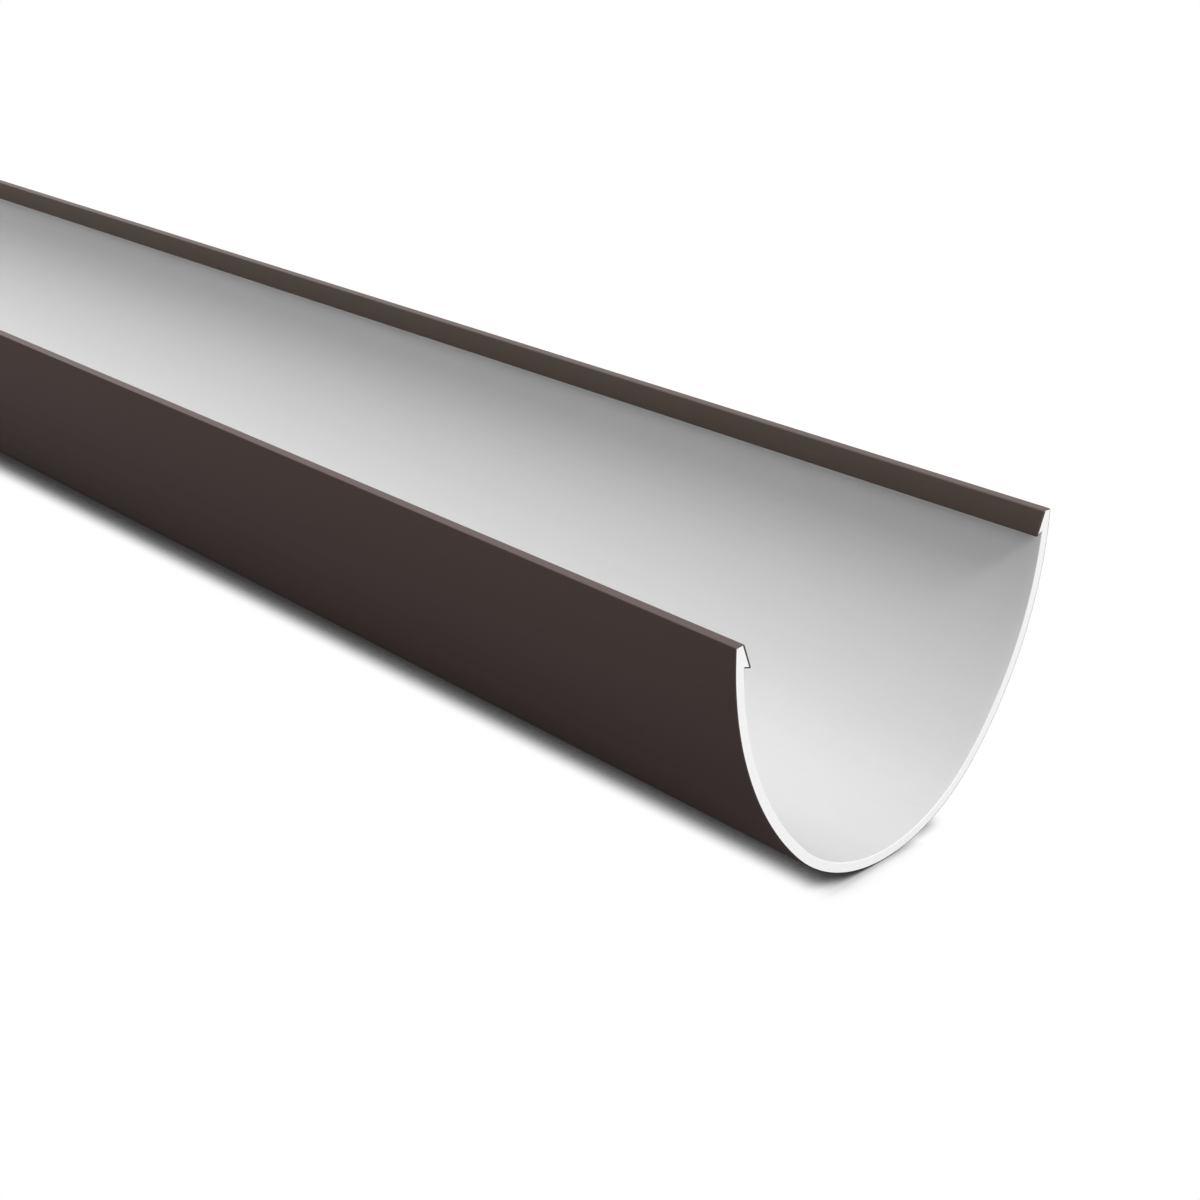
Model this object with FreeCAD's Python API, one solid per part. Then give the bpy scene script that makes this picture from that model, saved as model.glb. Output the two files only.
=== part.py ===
import FreeCAD, Part
import math
import os

# One stock length of a deep half-round rainwater gutter, extruded in one piece from hard plastic.
# X runs along the gutter, Y across it and Z up. The origin lies under the middle of the length,
# at the lowest line of the round bottom, on which the gutter lies with its open side up.

# Driving dimensions, in millimetres
length = 2000.0  # one stock length, sawn square at both ends
overall_width = 125.0  # over the outer faces at the rim, the nominal size of the gutter
overall_depth = 83.0  # from the lowest line of the bottom to the top of the rims
wall = 3.0  # thickness of the sides and bottom
bottom_tightening = 12.0  # by how much the bottom bends tighter than a half round of the full width
rim_upright = 2.5  # height of the straight outer face under the top of each rim
lip_reach = 5.7  # from the outer face to the tip of the lip
lip_drop = 7.1  # from the top of the rim down to the tip of the lip
lip_hook = 0.9  # by how much the tip hangs lower than the foot of the lip on the wall
rim_radius = 0.4  # rounding of the two edges on top of each rim
tip_radius = 0.3  # rounding of the tip of each lip

# The curve has three centres: one in the middle for the bottom and one beyond the middle for each
# side. Bottom and side arcs meet with a common tangent, at the join angle from straight down, and
# each side arc ends upright where the straight face under the rim starts.
half_width = overall_width / 2
bottom_radius = half_width - bottom_tightening
side_top = overall_depth - rim_upright
centre_rise = side_top - bottom_radius
side_radius = (half_width**2 + centre_rise**2 - bottom_radius**2) / (2 * bottom_tightening)
side_centre = half_width - side_radius
join_angle = math.atan2(-side_centre, centre_rise)
upright = math.pi / 2

# The lip leans inwards from the inner edge of the rim and ends on the wall's inner face.
lip_foot = overall_depth - lip_drop + lip_hook
foot_angle = math.acos(max(side_top - lip_foot, 0) / (side_radius - wall))


def at(across, height):
    """A point of the section, at the left-hand end of the gutter."""
    return FreeCAD.Vector(-length / 2, across, height)


def on_bottom(inset, angle):
    """A point of the bottom arc moved inwards, at an angle from straight down."""
    radius = bottom_radius - inset
    return at(radius * math.sin(angle), bottom_radius - radius * math.cos(angle))


def on_side(inset, angle):
    """A point of the side arc moved inwards, at an angle from straight down."""
    radius = side_radius - inset
    return at(side_centre + radius * math.sin(angle), side_top - radius * math.cos(angle))


def arc(place, inset, start, end):
    """The stretch of the bottom or side arc between two angles."""
    points = [place(inset, angle) for angle in (start, (start + end) / 2, end)]
    return Part.Arc(*points).toShape()


def rim_corners():
    """The sharp corners of the right-hand rim: outer edge, inner edge and tip of the lip."""
    outer_edge = at(half_width, overall_depth)
    inner_edge = at(half_width - wall, overall_depth)
    tip = at(half_width - lip_reach, overall_depth - lip_drop)
    return outer_edge, inner_edge, tip


def right_side():
    """The edges of the section's right-hand side, up its outside, over the rim and down its inside."""
    corners = [on_side(0, upright), *rim_corners()]
    if lip_foot > side_top:
        corners.append(at(half_width - wall, lip_foot))
    corners.append(on_side(wall, foot_angle))
    outside = arc(on_side, 0, join_angle, upright)
    inside = arc(on_side, wall, foot_angle, join_angle)
    return [outside, *Part.makePolygon(corners).Edges, inside]


def mirrored(shape):
    """The same shape on the other side of the middle plane."""
    return shape.mirror(FreeCAD.Vector(0, 0, 0), FreeCAD.Vector(0, 1, 0))


def rounded(solid, radius, corners):
    """Rounds the edges that run along the gutter from these corners and their mirror images."""
    places = corners + [FreeCAD.Vector(place.x, -place.y, place.z) for place in corners]
    found = []
    for edge in solid.Edges:
        starts = [vertex.Point for vertex in edge.Vertexes if vertex.Point.x < 0]
        if len(starts) == 1 and any(starts[0].isEqual(place, 1e-4) for place in places):
            found.append(edge)
    return solid.makeFillet(radius, found)


def gutter_channel():
    """The whole section drawn out to the stock length, with its rims and lips rounded."""
    right = right_side()
    left = [mirrored(edge) for edge in reversed(right)]
    outside_bottom = arc(on_bottom, 0, -join_angle, join_angle)
    inside_bottom = arc(on_bottom, wall, join_angle, -join_angle)
    section = Part.Face(Part.Wire([outside_bottom, *right, inside_bottom, *left]))
    channel = section.extrude(FreeCAD.Vector(length, 0, 0))
    outer_edge, inner_edge, tip = rim_corners()
    channel = rounded(channel, rim_radius, [outer_edge, inner_edge])
    return rounded(channel, tip_radius, [tip])


os.makedirs("parts", exist_ok=True)
gutter_channel().exportStep("parts/gutter_channel.step")
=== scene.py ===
import math

import bpy
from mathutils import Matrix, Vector


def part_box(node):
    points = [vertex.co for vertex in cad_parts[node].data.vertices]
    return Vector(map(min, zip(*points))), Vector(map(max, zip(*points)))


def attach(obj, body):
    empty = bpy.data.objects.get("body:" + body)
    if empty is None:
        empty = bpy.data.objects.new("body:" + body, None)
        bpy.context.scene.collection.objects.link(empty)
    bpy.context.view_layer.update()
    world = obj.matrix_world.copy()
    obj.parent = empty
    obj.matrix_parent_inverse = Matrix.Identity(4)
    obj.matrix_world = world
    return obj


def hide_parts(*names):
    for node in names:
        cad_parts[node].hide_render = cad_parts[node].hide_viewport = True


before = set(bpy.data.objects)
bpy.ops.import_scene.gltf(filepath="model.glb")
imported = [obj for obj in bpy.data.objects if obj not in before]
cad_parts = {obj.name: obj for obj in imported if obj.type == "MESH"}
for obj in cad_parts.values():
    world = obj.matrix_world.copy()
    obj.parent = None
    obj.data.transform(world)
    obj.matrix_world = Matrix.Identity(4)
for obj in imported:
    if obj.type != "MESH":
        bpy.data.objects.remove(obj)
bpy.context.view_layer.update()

# A deep half-round rainwater gutter, extruded in one length from hard plastic: a white body with a
# brown skin over its outside, its rims and its lips. X runs along the gutter, Y across it, Z up.
CHANNEL = "gutter_channel"

# Sizes of the section in metres. Length, width and depth are those of the CAD channel.
HALF_LENGTH, HALF_WIDTH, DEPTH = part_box(CHANNEL)[1]
WALL = 0.003
BOTTOM_TIGHTENING = 0.012  # by how much the bottom bends tighter than a half round of the width
RIM_UPRIGHT = 0.0025  # straight outer face under the top of each rim
LIP_REACH = 0.0057  # from the outer face in to the tip of the lip
LIP_DROP = 0.0071  # from the top of the rim down to the tip
LIP_HOOK = 0.0009  # by how much the tip hangs lower than the foot of the lip
RIM_ROUNDING = 0.0004
TIP_ROUNDING = 0.0003
BROKEN_EDGE = 0.00015  # taken off the edges of the sawn ends
SKIN_ON_WALL = 0.00014  # skin that shows on a sawn end, along its outer edge
SKIN_ON_LIP = 0.0006  # skin that shows on the sawn lip, along its slanted face
SKIN_UNDER_LIP = 0.0004  # skin that shows on the sawn lip, along its underside

# The curve has three centres, as in the CAD section.
BOTTOM_RADIUS = HALF_WIDTH - BOTTOM_TIGHTENING
SIDE_TOP = DEPTH - RIM_UPRIGHT
CENTRE_RISE = SIDE_TOP - BOTTOM_RADIUS
SIDE_RADIUS = (HALF_WIDTH**2 + CENTRE_RISE**2 - BOTTOM_RADIUS**2) / (2 * BOTTOM_TIGHTENING)
SIDE_CENTRE = HALF_WIDTH - SIDE_RADIUS
JOIN_ANGLE = math.atan2(-SIDE_CENTRE, CENTRE_RISE)
FOOT_RISE = DEPTH - LIP_DROP + LIP_HOOK
FOOT_ANGLE = math.acos((SIDE_TOP - FOOT_RISE) / (SIDE_RADIUS - WALL))

# How finely the mesh follows the section and the length, in steps
BOTTOM_STEPS = 32
SIDE_STEPS = 42
ROUNDING_STEPS = 6
LENGTH_STEPS = 40
SHARP_ANGLE = math.radians(24)

# Where the surfaces lie on the unwrapped sheet, as shares of its side
SHEET_MARGIN = 0.012
SAWN_BAND = 0.048
SIDES_FROM = 0.08
LEFT_END_MIDDLE = 0.25
RIGHT_END_MIDDLE = 0.75
END_HALF_WIDTH = 0.25 - SHEET_MARGIN

# Colours, as the share of light that each sends back
BROWN = (0.061, 0.044, 0.041)
BROWN_RUBBED = (0.090, 0.068, 0.064)
# The top and edges of the rims: the same brown skin, painted lighter as a highlight where the light
# falls on them
RIM_HIGHLIGHT_BROWN = (0.122, 0.089, 0.083)
RIM_HIGHLIGHT_BROWN_RUBBED = (0.155, 0.119, 0.111)
# The slanted faces of the lips: the same brown skin, painted lighter and a little yellower, as painted
# light where it falls on them
LIP_LIT_BROWN = (0.083, 0.064, 0.054)
LIP_LIT_BROWN_RUBBED = (0.116, 0.093, 0.080)
WHITE = (0.78, 0.779, 0.781)
WHITE_GREYED = (0.70, 0.70, 0.695)
SAWN_WHITE = (0.84, 0.835, 0.835)
SAWN_WHITE_DULL = (0.77, 0.765, 0.76)
SAWN_BROWN = (0.036, 0.032, 0.030)
SAWN_BROWN_DULL = (0.060, 0.052, 0.048)

# How the effects show in the finishes
LINES_IN_COLOUR = 0.06
LINES_IN_RELIEF = 0.6  # grain makes up the rest of the relief
PATCHES_IN_ROUGHNESS = 0.5
ROUGHER_IN_PLACES = 0.1
ROUGHER_IN_SCUFFS = 0.15
ARCS_IN_COLOUR = 0.35
ARCS_IN_RELIEF = 0.8  # grain makes up the rest of the relief
ROUGHER_IN_ARCS = 0.12
SAWN_GLOSS = 0.2
SAW_CENTRE = (0.0, -0.09, 0.21)  # where the axle of the round blade stood


def wall_angles():
    """The angles of the wall's points from straight down, from the bottom to the foot of the lip."""
    bottom = [JOIN_ANGLE * step / BOTTOM_STEPS for step in range(BOTTOM_STEPS)]
    rise = FOOT_ANGLE - JOIN_ANGLE
    return bottom + [JOIN_ANGLE + rise * step / SIDE_STEPS for step in range(SIDE_STEPS + 1)]


def wall_point(inset, angle):
    """A point of the right-hand wall, moved inwards, as its place across and its height."""
    if angle <= JOIN_ANGLE:
        radius = BOTTOM_RADIUS - inset
        return Vector((radius * math.sin(angle), BOTTOM_RADIUS - radius * math.cos(angle)))
    radius = SIDE_RADIUS - inset
    return Vector((SIDE_CENTRE + radius * math.sin(angle), SIDE_TOP - radius * math.cos(angle)))


def turned(vector, angle):
    """The vector turned anticlockwise."""
    cos, sin = math.cos(angle), math.sin(angle)
    return Vector((vector.x * cos - vector.y * sin, vector.x * sin + vector.y * cos))


def left_of(direction):
    """The direction a quarter turn anticlockwise, which leads into the wall from its outline."""
    return turned(direction, math.pi / 2)


def rounding(before, corner, after, radius):
    """The points of the arc that rounds an outward corner, going anticlockwise round the section."""
    to_before = (before - corner).normalized()
    to_after = (after - corner).normalized()
    half = to_before.angle(to_after) / 2
    centre = corner + (to_before + to_after).normalized() * radius / math.sin(half)
    first = corner + to_before * radius / math.tan(half) - centre
    turn = (math.pi - 2 * half) / ROUNDING_STEPS
    return [centre + turned(first, turn * step) for step in range(ROUNDING_STEPS + 1)]


# The right-hand half of the outline, from the middle outside over the rim to the middle inside
ANGLES = wall_angles()
OUTSIDE = [wall_point(0, angle) for angle in ANGLES]
INSIDE = [wall_point(WALL, angle) for angle in reversed(ANGLES)]
UPRIGHT = Vector((HALF_WIDTH, SIDE_TOP))
RIM_OUTER = Vector((HALF_WIDTH, DEPTH))
RIM_INNER = Vector((HALF_WIDTH - WALL, DEPTH))
TIP = Vector((HALF_WIDTH - LIP_REACH, DEPTH - LIP_DROP))
FOOT = INSIDE[0]
SLANT = (TIP - RIM_INNER).normalized()
UNDER = (FOOT - TIP).normalized()
SKIN_TOP = RIM_INNER + Vector((SKIN_ON_LIP / -SLANT.y, 0))
RIM = [
    UPRIGHT,
    *rounding(UPRIGHT, RIM_OUTER, RIM_INNER, RIM_ROUNDING),
    SKIN_TOP,
    *rounding(RIM_OUTER, RIM_INNER, TIP, RIM_ROUNDING),
    *rounding(RIM_INNER, TIP, FOOT, TIP_ROUNDING),
]
HALF = OUTSIDE + RIM + INSIDE
LAST = len(HALF) - 1
OUTLINE = HALF + [Vector((-place.x, place.y)) for place in reversed(HALF[1:LAST])]
COUNT = len(OUTLINE)

# The numbers of the points at which the outline changes
WALL_TO = len(OUTSIDE) - 1  # the wall's last point outside, opposite the foot of the lip
RIM_FROM = len(OUTSIDE) + 1 + ROUNDING_STEPS // 2  # halfway round the rim's outer edge, where the rims' painted highlight starts
SKIN_AT = len(OUTSIDE) + RIM.index(SKIN_TOP)  # on the rim, where the lip's skin starts on a sawn end
RIM_TO = SKIN_AT + ROUNDING_STEPS + 1  # where the slanted face of the lip starts
FOOT_AT = len(OUTSIDE) + len(RIM)  # where the lip meets the wall
TIP_AT = FOOT_AT - ROUNDING_STEPS - 1  # where the rounding of the tip starts

# The places along the gutter at which the mesh has a ring of points
INNER_END = HALF_LENGTH - BROKEN_EDGE
STATION_STEP = 2 * INNER_END / LENGTH_STEPS
BETWEEN_ENDS = [-INNER_END + STATION_STEP * step for step in range(LENGTH_STEPS + 1)]
STATIONS = [-HALF_LENGTH, *BETWEEN_ENDS, HALF_LENGTH]


def strip_finish(point):
    """The finish of the strip from this point of the outline to the next."""
    from_bottom = min(point, COUNT - 1 - point)
    starts = ((FOOT_AT, "white_body"), (RIM_TO, "lip_painted_light"), (RIM_FROM, "rim_painted_highlight"))
    for start, finish in starts:
        if from_bottom >= start:
            return finish
    return "brown_skin"


def moved_in(distance):
    """The outline moved inwards by a distance, for the broken edges and the skin of the sawn ends."""
    moved = []
    for point, place in enumerate(OUTLINE):
        back = (place - OUTLINE[point - 1]).normalized()
        ahead = (OUTLINE[(point + 1) % COUNT] - place).normalized()
        inwards = (left_of(back) + left_of(ahead)).normalized()
        moved.append(place + inwards * distance / inwards.dot(left_of(ahead)))
    return moved


def skin_corner():
    """Where the inner sides of the lip's two layers of skin meet, inside its tip."""
    from_slant = left_of(SLANT) * SKIN_ON_LIP
    from_under = left_of(UNDER) * SKIN_UNDER_LIP
    gap = from_under - from_slant
    along = gap.cross(UNDER) / SLANT.cross(UNDER)
    return TIP + from_slant + SLANT * along


def inner_points():
    """The points of a sawn end's right-hand half that lie inside the outline, by name.

    "corner" and "heel" are where the skin of the lip ends, and ("under", number) is the point
    under the skin at that point of the outline.
    """
    heel = FOOT + left_of(UNDER) * SKIN_UNDER_LIP
    places = {"corner": skin_corner(), "heel": heel}
    below = moved_in(BROKEN_EDGE + SKIN_ON_WALL)
    for point in range(SKIN_AT):
        places["under", point] = below[point]
    return places


def sawn_half():
    """The faces of one sawn end's right-hand half: the points round each, and its finish."""
    under = [("under", point) for point in range(SKIN_AT)]
    edge = [(i, i + 1, under[i + 1], under[i]) for i in range(SKIN_AT - 1)]
    edge.append((SKIN_AT - 1, SKIN_AT, under[-1]))
    walls = [(under[i], under[i + 1], LAST - i - 1, LAST - i) for i in range(WALL_TO)]
    head = (*under[WALL_TO:], SKIN_AT, "corner", "heel", FOOT_AT)
    slanted = (*range(SKIN_AT, TIP_AT + 1), "corner")
    tip = (*range(TIP_AT, FOOT_AT), "corner")
    foot = (FOOT_AT - 1, FOOT_AT, "heel", "corner")
    white = [(points, "sawn_white") for points in (*walls, head)]
    return white + [(points, "sawn_skin") for points in (*edge, slanted, tip, foot)]


def along_outline():
    """The length of the outline up to each of its points, and at the end of it the whole length."""
    lengths = [0.0]
    for point in range(COUNT):
        step = (OUTLINE[(point + 1) % COUNT] - OUTLINE[point]).length
        lengths.append(lengths[-1] + step)
    return lengths


def rolled_out(inner):
    """How far along the wall from the bottom, and how far in from its outer face, each point is."""
    lengths = along_outline()
    rolled = {}
    for point, place in [*enumerate(HALF), *inner.items()]:
        rolled[point] = (lengths[WALL_TO] + place.y - FOOT.y, HALF_WIDTH - place.x)
    for point in range(WALL_TO + 1):
        rolled[point] = (lengths[point], 0.0)
        rolled["under", point] = (lengths[point], BROKEN_EDGE + SKIN_ON_WALL)
        rolled[LAST - point] = (lengths[point], WALL)
    return rolled


class Channel:
    """Collects the points, faces, finishes and sheet places of the gutter's mesh."""

    finishes = ("brown_skin", "rim_painted_highlight", "lip_painted_light", "white_body", "sawn_white", "sawn_skin")

    def __init__(self):
        self.places = []
        self.faces = []
        self.face_finishes = []
        self.sheet = []

    def add_face(self, points, finish, sheet):
        """A face, with the place on the sheet of each of its corners."""
        self.faces.append(points)
        self.face_finishes.append(self.finishes.index(finish))
        self.sheet.extend(sheet)

    def add_rings(self):
        """One ring of points at each station along the gutter, drawn in at the sawn ends."""
        drawn_in = moved_in(BROKEN_EDGE)
        for x in STATIONS:
            ring = drawn_in if abs(x) == HALF_LENGTH else OUTLINE
            self.places += [(x, place.x, place.y) for place in ring]

    def add_strips(self):
        """The faces between the rings, unrolled on the sheet with the length from left to right."""
        lengths = along_outline()
        share = (1 - SHEET_MARGIN - SIDES_FROM) / lengths[-1]
        ups = [SIDES_FROM + length * share for length in lengths]
        width = 1 - 2 * SHEET_MARGIN
        rights = [SHEET_MARGIN + width * (x + HALF_LENGTH) / (2 * HALF_LENGTH) for x in STATIONS]
        for ring in range(len(STATIONS) - 1):
            left, right = ring * COUNT, (ring + 1) * COUNT
            for point in range(COUNT):
                after = (point + 1) % COUNT
                corners = (left + point, left + after, right + after, right + point)
                low, high = ups[point], ups[point + 1]
                sheet = (
                    (rights[ring], low),
                    (rights[ring], high),
                    (rights[ring + 1], high),
                    (rights[ring + 1], low),
                )
                self.add_face(corners, strip_finish(point), sheet)

    def add_sawn_end(self, x, ring, middle_of_end):
        """One sawn end, with its faces rolled out straight in a band at the foot of the sheet."""
        inner = inner_points()
        rolled = rolled_out(inner)
        reach = along_outline()[FOOT_AT]
        shared = ("under", 0)
        added = {}
        for side in (1, -1):
            for name, place in inner.items():
                if name != shared or shared not in added:
                    added[name] = len(self.places)
                    self.places.append((x, side * place.x, place.y))
            for points, finish in sawn_half():
                corners = []
                sheet = []
                for point in points:
                    if point in added:
                        corners.append(added[point])
                    else:
                        corners.append(ring * COUNT + (side * point) % COUNT)
                    along, across = rolled[point]
                    share = side * along / reach * END_HALF_WIDTH
                    up = SHEET_MARGIN + across / LIP_REACH * SAWN_BAND
                    sheet.append((middle_of_end + share, up))
                if (x > 0) != (side > 0):
                    corners.reverse()
                    sheet.reverse()
                self.add_face(corners, finish, sheet)

    def build(self):
        """The whole mesh, with its finishes and its sheet."""
        self.add_rings()
        self.add_strips()
        self.add_sawn_end(-HALF_LENGTH, 0, LEFT_END_MIDDLE)
        self.add_sawn_end(HALF_LENGTH, len(STATIONS) - 1, RIGHT_END_MIDDLE)
        mesh = bpy.data.meshes.new("gutter_length")
        mesh.from_pydata(self.places, [], self.faces)
        sheet = mesh.uv_layers.new(name="OFBake")
        for corner, place in zip(sheet.uv, self.sheet):
            corner.vector = place
        for face, finish in zip(mesh.polygons, self.face_finishes):
            face.material_index = finish
        mesh.shade_smooth()
        mesh.set_sharp_from_angle(angle=SHARP_ANGLE)
        mesh.validate()
        return mesh


class Nodes:
    """Short ways to fill one node tree."""

    def __init__(self, tree):
        self.tree = tree

    def add(self, kind, inputs=None, **settings):
        """A node with its settings, and with values or other sockets on its inputs."""
        node = self.tree.nodes.new(kind)
        for name, value in settings.items():
            setattr(node, name, value)
        for name, value in (inputs or {}).items():
            self.put(value, node.inputs[name])
        return node

    def put(self, value, socket):
        """Links another socket to this one, or sets its value."""
        if isinstance(value, bpy.types.NodeSocket):
            self.tree.links.new(value, socket)
        else:
            socket.default_value = value

    def maths(self, operation, first, second):
        """One sum with two numbers."""
        return self.add("ShaderNodeMath", {0: first, 1: second}, operation=operation).outputs[0]

    def shared_out(self, first, share, second):
        """A share of the first number, made up to a whole with the second."""
        part = self.maths("MULTIPLY", first, share)
        rest = self.maths("MULTIPLY", second, 1 - share)
        return self.maths("ADD", part, rest)

    def stretched(self, value, low, high, to_low=0.0, to_high=1.0):
        """The value moved from one range to another and kept within it."""
        inputs = {"Value": value, "From Min": low, "From Max": high, "To Min": to_low, "To Max": to_high}
        return self.add("ShaderNodeMapRange", inputs).outputs["Result"]

    def blended(self, share, first, second):
        """One colour going over into another, by the colour sockets of the Mix node."""
        node = self.add("ShaderNodeMix", {0: share, 6: first, 7: second}, data_type="RGBA")
        return node.outputs[2]

    def noise(self, place, scale, detail):
        """Soft noise from 0 to 1, its scale in waves per metre."""
        inputs = {"Vector": place, "Scale": scale, "Detail": detail}
        return self.add("ShaderNodeTexNoise", inputs).outputs["Fac"]

    def effect(self, name, inputs):
        """The outputs of a shared effect, placed with this material's own values."""
        tree = bpy.data.node_groups[name]
        return self.add("ShaderNodeGroup", inputs, node_tree=tree).outputs

    def placed(self, along=1.0):
        """The place on the gutter, drawn out along its length where "along" is small."""
        place = self.add("ShaderNodeTexCoord").outputs["Object"]
        inputs = {0: place, 1: (along, 1.0, 1.0)}
        return self.add("ShaderNodeVectorMath", inputs, operation="MULTIPLY").outputs[0]


def new_group(name, inputs, outputs):
    """A node group with named number sockets: its nodes, what it is given and what it gives."""
    tree = bpy.data.node_groups.new(name, "ShaderNodeTree")
    for socket, value in inputs.items():
        made = tree.interface.new_socket(socket, in_out="INPUT", socket_type="NodeSocketFloat")
        made.default_value = value
    for socket in outputs:
        tree.interface.new_socket(socket, in_out="OUTPUT", socket_type="NodeSocketFloat")
    nodes = Nodes(tree)
    return nodes, nodes.add("NodeGroupInput").outputs, nodes.add("NodeGroupOutput").inputs


def add_die_lines():
    """Faint lines along the gutter, which the lips of the extrusion die leave."""
    nodes, given, result = new_group("die_lines", {"Lines per metre": 300.0}, ["Lines"])
    fine = nodes.noise(nodes.placed(along=0.004), given["Lines per metre"], detail=3.0)
    nodes.put(nodes.stretched(fine, 0.3, 0.7), result["Lines"])


def add_cooled_grain():
    """The fine unevenness that a cooled plastic surface has."""
    nodes, given, result = new_group("cooled_grain", {"Grains per metre": 900.0}, ["Grain"])
    nodes.put(nodes.noise(nodes.placed(), given["Grains per metre"], detail=2.0), result["Grain"])


def add_handling():
    """Soft patches, and the hairline scuffs that stacked lengths give each other."""
    nodes, given, result = new_group("handling", {"Amount": 0.5}, ["Patches", "Scuffs"])
    clouds = nodes.noise(nodes.placed(along=0.6), scale=14.0, detail=4.0)
    patches = nodes.stretched(clouds, 0.35, 0.7)
    streaks = nodes.noise(nodes.placed(along=0.03), scale=1400.0, detail=1.0)
    hairlines = nodes.stretched(streaks, 0.68, 0.74)
    worn = nodes.maths("MULTIPLY", hairlines, patches)
    nodes.put(patches, result["Patches"])
    nodes.put(nodes.maths("MULTIPLY", worn, given["Amount"]), result["Scuffs"])


def add_saw_marks():
    """The arcs that the teeth of a round saw blade leave on a cut end."""
    nodes, given, result = new_group("saw_marks", {"Marks per metre": 1500.0}, ["Marks"])
    inputs = {0: nodes.placed(along=0.0), 1: SAW_CENTRE}
    reach = nodes.add("ShaderNodeVectorMath", inputs, operation="DISTANCE").outputs["Value"]
    inputs = {"W": reach, "Scale": given["Marks per metre"], "Detail": 3.0}
    marks = nodes.add("ShaderNodeTexNoise", inputs, noise_dimensions="1D").outputs["Fac"]
    nodes.put(nodes.stretched(marks, 0.3, 0.7), result["Marks"])


def new_material(name):
    """A material with the nodes to fill it with, and its principled shader."""
    material = bpy.data.materials.new(name)
    material.use_nodes = True
    nodes = Nodes(material.node_tree)
    return material, nodes, material.node_tree.nodes["Principled BSDF"]


def colour_and_bump(nodes, shader, tone, colours, height, strength, depth):
    """The blend of two colours, and the fine relief of the surface."""
    plain, worn = colours
    nodes.put(nodes.blended(tone, (*plain, 1.0), (*worn, 1.0)), shader.inputs["Base Color"])
    bump = nodes.add("ShaderNodeBump", {"Height": height, "Strength": strength, "Distance": depth})
    nodes.put(bump.outputs["Normal"], shader.inputs["Normal"])


def extruded_finish(name, colours, roughness, gloss, lines, grains, handled):
    """The surface of the extrusion: smooth, with die lines, fine grain and signs of handling.

    "lines" and "grains" are counted per metre, and "handled" is how far the scuffs show.
    """
    material, nodes, shader = new_material(name)
    drawn = nodes.effect("die_lines", {"Lines per metre": lines})["Lines"]
    grain = nodes.effect("cooled_grain", {"Grains per metre": grains})["Grain"]
    marks = nodes.effect("handling", {"Amount": handled})
    tone = nodes.maths("ADD", marks["Scuffs"], nodes.maths("MULTIPLY", drawn, LINES_IN_COLOUR))
    height = nodes.shared_out(drawn, LINES_IN_RELIEF, grain)
    colour_and_bump(nodes, shader, tone, colours, height, strength=0.25, depth=0.00002)
    patchy = nodes.maths("MULTIPLY", marks["Patches"], PATCHES_IN_ROUGHNESS)
    uneven = nodes.maths("ADD", patchy, drawn)
    most = 1 + PATCHES_IN_ROUGHNESS
    duller = nodes.stretched(uneven, 0.0, most, roughness, roughness + ROUGHER_IN_PLACES)
    scuffed = nodes.maths("MULTIPLY", marks["Scuffs"], ROUGHER_IN_SCUFFS)
    nodes.put(nodes.maths("ADD", duller, scuffed), shader.inputs["Roughness"])
    shader.inputs["Specular IOR Level"].default_value = gloss
    return material


def sawn_finish(name, colours, roughness, marks, grains):
    """A sawn face: matt, with the arcs of the saw. "marks" and "grains" are counted per metre."""
    material, nodes, shader = new_material(name)
    arcs = nodes.effect("saw_marks", {"Marks per metre": marks})["Marks"]
    grain = nodes.effect("cooled_grain", {"Grains per metre": grains})["Grain"]
    tone = nodes.maths("MULTIPLY", arcs, ARCS_IN_COLOUR)
    height = nodes.shared_out(arcs, ARCS_IN_RELIEF, grain)
    colour_and_bump(nodes, shader, tone, colours, height, strength=0.4, depth=0.00004)
    duller = nodes.stretched(arcs, 0.0, 1.0, roughness, roughness + ROUGHER_IN_ARCS)
    nodes.put(duller, shader.inputs["Roughness"])
    shader.inputs["Specular IOR Level"].default_value = SAWN_GLOSS
    return material


def make_finishes():
    """The gutter's materials by name, after the effects that they share."""
    add_die_lines()
    add_cooled_grain()
    add_handling()
    add_saw_marks()
    made = (
        extruded_finish(
            "brown_skin", (BROWN, BROWN_RUBBED),
            roughness=0.55, gloss=0.03, lines=300.0, grains=900.0, handled=0.5,
        ),
        # The rims, painted lighter than the rest of the skin: a painted highlight
        extruded_finish(
            "rim_painted_highlight", (RIM_HIGHLIGHT_BROWN, RIM_HIGHLIGHT_BROWN_RUBBED),
            roughness=0.42, gloss=0.24, lines=700.0, grains=1400.0, handled=0.8,
        ),
        # The lips' slanted faces, painted lighter than the rest of the skin as painted light
        extruded_finish(
            "lip_painted_light", (LIP_LIT_BROWN, LIP_LIT_BROWN_RUBBED),
            roughness=0.55, gloss=0.05, lines=500.0, grains=900.0, handled=0.3,
        ),
        extruded_finish(
            "white_body", (WHITE, WHITE_GREYED),
            roughness=0.50, gloss=0.25, lines=260.0, grains=800.0, handled=0.4,
        ),
        sawn_finish(
            "sawn_white", (SAWN_WHITE, SAWN_WHITE_DULL),
            roughness=0.60, marks=1500.0, grains=1100.0,
        ),
        sawn_finish(
            "sawn_skin", (SAWN_BROWN, SAWN_BROWN_DULL),
            roughness=0.60, marks=2200.0, grains=2000.0,
        ),
    )
    return {material.name: material for material in made}


def add_object(name, data):
    """A new object of the scene that holds a mesh, a lamp or a camera."""
    made = bpy.data.objects.new(name, data)
    bpy.context.collection.objects.link(made)
    return made


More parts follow.
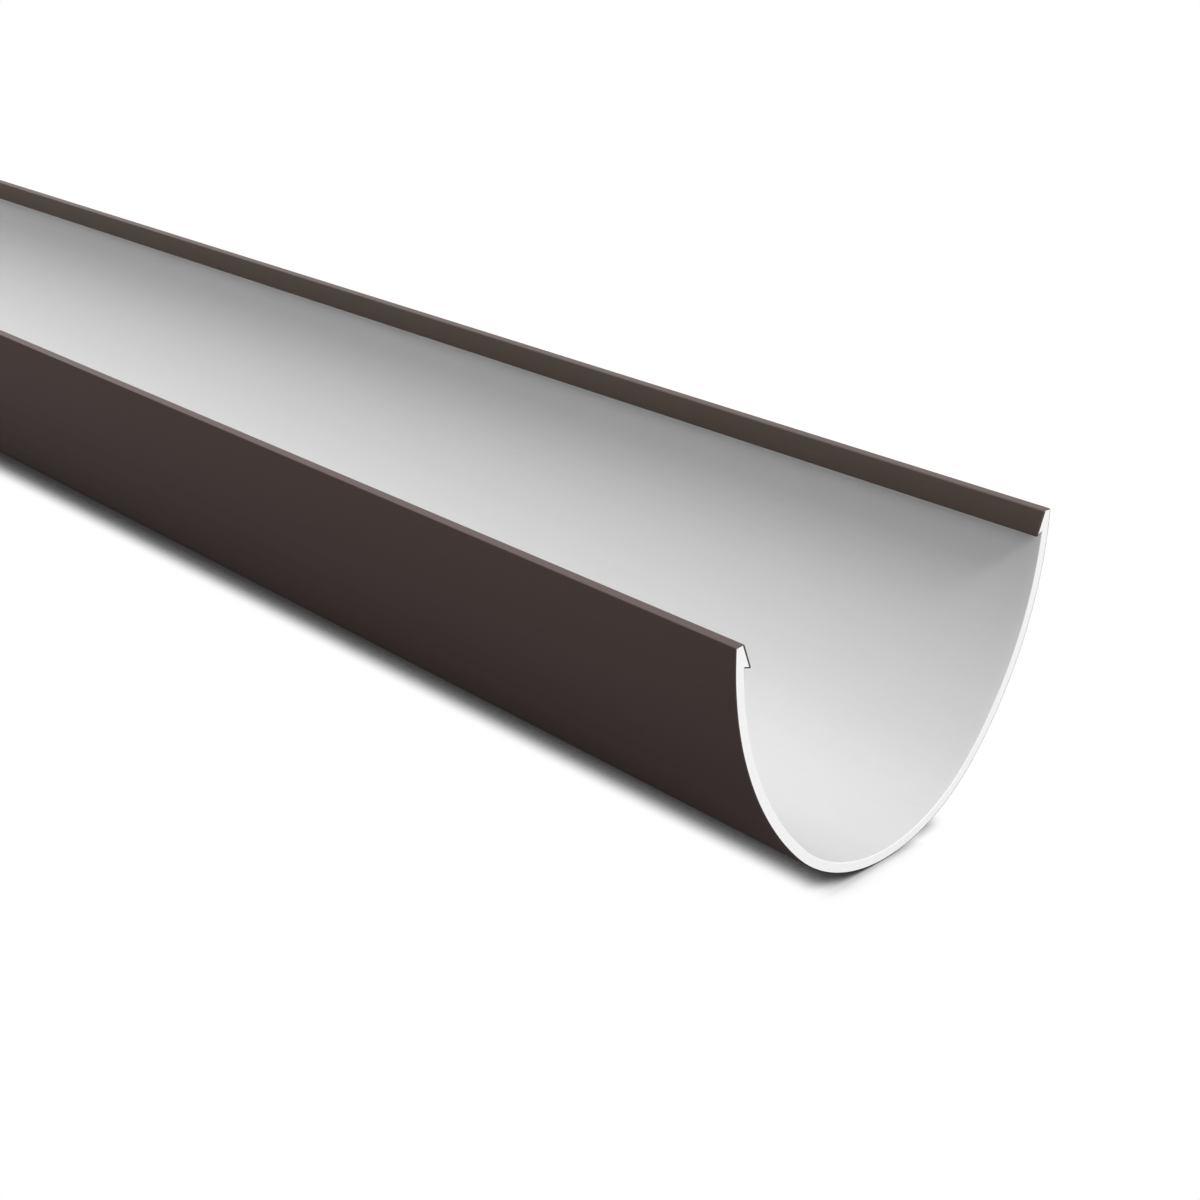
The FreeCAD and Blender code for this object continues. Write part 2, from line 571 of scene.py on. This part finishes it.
def make_gutter():
    """The gutter's one piece, with its finishes."""
    finishes = make_finishes()
    channel = Channel()
    piece = add_object("gutter_length", channel.build())
    for name in channel.finishes:
        piece.data.materials.append(finishes[name])
    weighted = piece.modifiers.new("flat_faces_first", "WEIGHTED_NORMAL")
    weighted.keep_sharp = True
    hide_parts(CHANNEL)
    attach(piece, "root")


# The stage: a white floor that keeps the gutter's contact shadow, and white all round
FLOOR_SIDE = 14.0
FLOOR_COLOUR = (0.42, 0.42, 0.42, 1.0)
SHADOW_COLOUR = (0.040, 0.038, 0.038, 1.0)
PURE_WHITE = (1.0, 1.0, 1.0, 1.0)
NO_LIGHT = (0.0, 0.0, 0.0, 1.0)

# How far the shadow reaches: most from FURTHER_FROM on to the left, least at the right-hand end,
# and over a wider strip beside the gutter in all rays that don't come from the camera
SHADOW_REACH = 0.0088
SHADOW_REACH_FURTHER = 0.0134
FURTHER_FROM = 0.4
REFLECTED_REACH = 0.22

# How open the floor is where its shadow is full and where it ends, from 0 for covered to 1 for free
FULL_SHADE = 0.22
NO_SHADE = 0.74
NO_SHADE_BEYOND = 0.94  # in front of the right-hand end
REFLECTED_NO_SHADE = 1.0
SEEN_SAMPLES = 16  # how many rays look for what lies round a point of the floor
REFLECTED_SAMPLES = 4

# The stretches over which the shadow changes: two along the gutter, round its right-hand end, and
# two across it, counted from its middle line
PAST_END = (HALF_LENGTH - 0.002, HALF_LENGTH + 0.001)
NEAR_END = (HALF_LENGTH - 0.005, HALF_LENGTH + 0.001)
IN_FRONT = (0.004, 0.016)
BEHIND = (0.0, 0.014)


def mirrored_share(nodes):
    """1 for rays in reflections and behind clear surfaces."""
    path = nodes.add("ShaderNodeLightPath").outputs
    return nodes.maths("MAXIMUM", path["Is Glossy Ray"], path["Is Transmission Ray"])


def seen_share(nodes):
    """1 for rays from the camera and in reflections, where the stage shows plain white."""
    path = nodes.add("ShaderNodeLightPath").outputs
    return nodes.maths("MAXIMUM", path["Is Camera Ray"], mirrored_share(nodes))


def openness(nodes, reach, open_from, samples):
    """How open the floor is to what lies round it, from 0 in full shade to 1 beside the shadow."""
    near = nodes.add("ShaderNodeAmbientOcclusion", {"Distance": reach}, samples=samples)
    inputs = {"Value": near.outputs["AO"], "From Min": FULL_SHADE, "From Max": open_from}
    return nodes.add("ShaderNodeMapRange", inputs, interpolation_type="SMOOTHSTEP").outputs["Result"]


def contact_openness(nodes):
    """How open the floor is close under the gutter, where the camera sees the contact shadow.

    The shadow runs on a little past the right-hand end in front, and fades out behind it.
    """
    place = nodes.add("ShaderNodeTexCoord").outputs["Object"]
    axes = nodes.add("ShaderNodeSeparateXYZ", {0: place}).outputs
    reach = nodes.stretched(axes["X"], FURTHER_FROM, HALF_LENGTH, SHADOW_REACH_FURTHER, SHADOW_REACH)
    past_end = nodes.stretched(axes["X"], *PAST_END)
    in_front = nodes.stretched(axes["Y"], *IN_FRONT, to_low=1.0, to_high=0.0)
    at_end = nodes.maths("MULTIPLY", past_end, in_front)
    open_from = nodes.stretched(at_end, 0.0, 1.0, NO_SHADE, NO_SHADE_BEYOND)
    near_end = nodes.stretched(axes["X"], *NEAR_END)
    behind = nodes.stretched(axes["Y"], *BEHIND)
    least = nodes.maths("MULTIPLY", near_end, behind)
    return nodes.maths("MAXIMUM", openness(nodes, reach, open_from, SEEN_SAMPLES), least)


def floor_finish():
    """Plain white with the contact shadow for the camera, and a pale grey for the light it returns."""
    material, nodes, shader = new_material("floor_white")
    material.node_tree.nodes.remove(shader)
    shown = nodes.blended(contact_openness(nodes), SHADOW_COLOUR, PURE_WHITE)
    seen = nodes.add("ShaderNodeEmission", {"Color": shown}).outputs[0]
    wide = openness(nodes, REFLECTED_REACH, REFLECTED_NO_SHADE, REFLECTED_SAMPLES)
    mirrored = nodes.blended(wide, SHADOW_COLOUR, PURE_WHITE)
    reflected = nodes.add("ShaderNodeEmission", {"Color": mirrored}).outputs[0]
    dimmed = nodes.blended(wide, SHADOW_COLOUR, FLOOR_COLOUR)
    plain = nodes.add("ShaderNodeBsdfDiffuse", {"Color": dimmed}).outputs[0]
    indirect = nodes.add("ShaderNodeMixShader", {0: mirrored_share(nodes), 1: plain, 2: reflected})
    direct = nodes.add("ShaderNodeLightPath").outputs["Is Camera Ray"]
    both = nodes.add("ShaderNodeMixShader", {0: direct, 1: indirect.outputs[0], 2: seen})
    nodes.put(both.outputs[0], material.node_tree.nodes["Material Output"].inputs["Surface"])
    material.cycles.emission_sampling = "NONE"
    return material


def make_floor():
    """The floor that the gutter lies on."""
    half = FLOOR_SIDE / 2
    mesh = bpy.data.meshes.new("floor")
    corners = [(-half, -half, 0.0), (half, -half, 0.0), (half, half, 0.0), (-half, half, 0.0)]
    mesh.from_pydata(corners, [], [(0, 1, 2, 3)])
    mesh.materials.append(floor_finish())
    floor = add_object("floor", mesh)


def make_world():
    """White all round for the camera and in reflections, and no light from it otherwise."""
    world = bpy.data.worlds.new("white_room")
    bpy.context.scene.world = world
    world.use_nodes = True
    nodes = Nodes(world.node_tree)
    colour = nodes.blended(seen_share(nodes), NO_LIGHT, PURE_WHITE)
    nodes.put(colour, world.node_tree.nodes["Background"].inputs["Color"])


# The lamps
FAR = 3.0  # how far off the far lamps stand, which light alike from any distance
STRIP_LENGTH = 2.1
STRIP_HEIGHT = 0.008
STRIP_SPREAD = math.radians(100)
STRIP_AWAY = 0.10  # from the side of the gutter
STRIP_RISE = DEPTH + 0.002


def turn_back(holder, towards):
    """Turns a lamp or camera with its back towards a direction."""
    holder.rotation_mode = "QUATERNION"
    holder.rotation_quaternion = towards.to_track_quat("Z", "Y")


def add_lamp(name, tilt, across, spread, energy):
    """A far lamp, given by how far its direction leans from straight above, in degrees.

    "tilt" leans it towards the right-hand end, and "across" over the gutter to the rear.
    """
    lamp = bpy.data.lights.new(name, "SUN")
    lamp.energy = energy
    lamp.angle = math.radians(spread)
    tilt, across = math.radians(tilt), math.radians(across)
    lean = Vector((0, math.sin(across), math.cos(across)))
    towards = lean * math.cos(tilt) + Vector((math.sin(tilt), 0, 0))
    holder = add_object(name, lamp)
    holder.location = towards * FAR
    turn_back(holder, towards)


def add_strip(name, side, power):
    """A long strip lamp beside the gutter, level with its rims, that the camera doesn't see."""
    lamp = bpy.data.lights.new(name, "AREA")
    lamp.shape = "RECTANGLE"
    lamp.size = STRIP_LENGTH
    lamp.size_y = STRIP_HEIGHT
    lamp.spread = STRIP_SPREAD
    lamp.energy = power
    holder = add_object(name, lamp)
    holder.location = (0, side * (HALF_WIDTH + STRIP_AWAY), STRIP_RISE)
    turn_back(holder, Vector((0, side, 0)))
    holder.visible_camera = False


def make_lamps():
    """A plain studio: two soft lamps from the right, fills all round and a strip along each side."""
    add_lamp("top_lamp", tilt=46, across=2, spread=12, energy=2.50)
    add_lamp("front_lamp", tilt=46, across=-22, spread=44, energy=1.32)
    add_lamp("front_fill", tilt=0, across=-88, spread=4, energy=0.40)
    add_lamp("rear_fill", tilt=0, across=88, spread=4, energy=0.80)
    add_lamp("left_fill", tilt=-76, across=-10, spread=30, energy=0.50)
    add_strip("front_strip", side=-1, power=0.21)
    add_strip("rear_strip", side=1, power=0.21)


# The camera: where it stands from the right-hand end of the front rim, and where it looks
CAMERA_FROM_RIM = Vector((0.2540, -0.2856, 0.1846))
CAMERA_AZIMUTH = math.radians(46.27)
CAMERA_ELEVATION = math.radians(24.37)
LENS = 56.04
NEAREST_SEEN = 0.01


def make_camera():
    """The camera at the right-hand end, in front of the gutter and above it."""
    camera = add_object("camera", bpy.data.cameras.new("camera"))
    camera.data.lens = LENS
    camera.data.clip_start = NEAREST_SEEN
    camera.location = Vector((HALF_LENGTH, -HALF_WIDTH, DEPTH)) + CAMERA_FROM_RIM
    level = math.cos(CAMERA_ELEVATION)
    back = Vector((
        math.sin(CAMERA_AZIMUTH) * level,
        -math.cos(CAMERA_AZIMUTH) * level,
        math.sin(CAMERA_ELEVATION),
    ))
    turn_back(camera, back)
    bpy.context.scene.camera = camera


make_gutter()
make_floor()
make_world()
make_lamps()
make_camera()
bpy.context.scene.view_settings.view_transform = "Standard"
